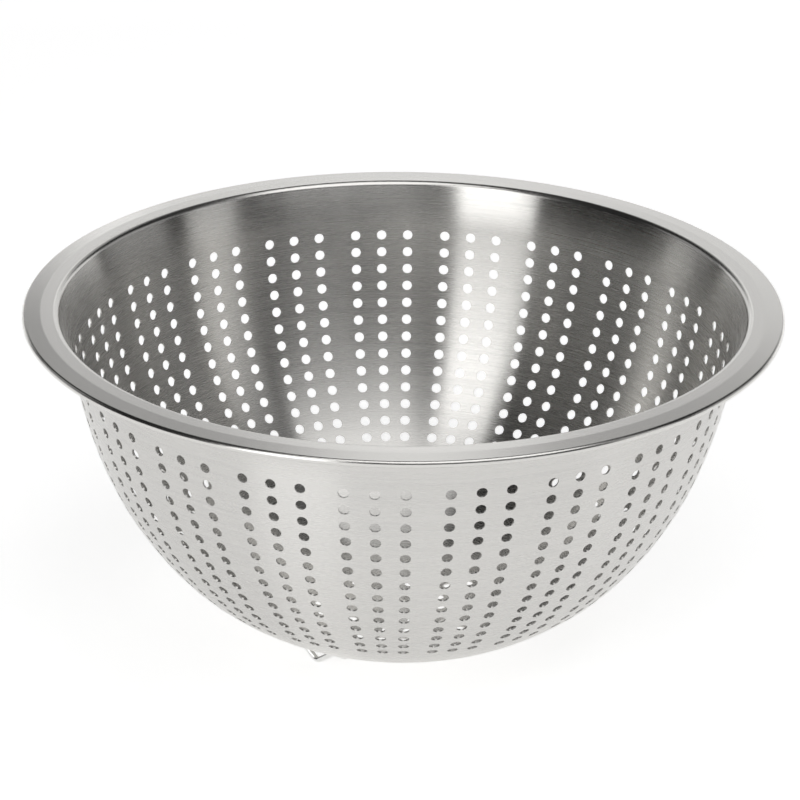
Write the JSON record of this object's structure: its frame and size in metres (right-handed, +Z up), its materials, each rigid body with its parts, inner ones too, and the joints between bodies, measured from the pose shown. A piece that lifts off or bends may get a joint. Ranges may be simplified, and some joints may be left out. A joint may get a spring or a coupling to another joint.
{
  "type": "colander",
  "caption": "Perforated round steel bowl for draining food, with a hemmed flat rim, standing on small bent wire feet.",
  "frame": {"origin": "on the table the feet stand on, under the middle of the bowl", "axes": "+Z up along the bowl's axis; -Y is the front, which a group of hole columns faces; +X to the right"},
  "size_m": [0.29, 0.29, 0.1368],
  "materials": {
    "bowl_steel": "finely brushed round the axis",
    "wire_steel": "bright drawn wire"
  },
  "bodies": {
    "root": {"bowl": "bowl_steel", "foot_front_left": "wire_steel", "foot_right": "wire_steel", "foot_back": "wire_steel"}
  },
  "joints": []
}
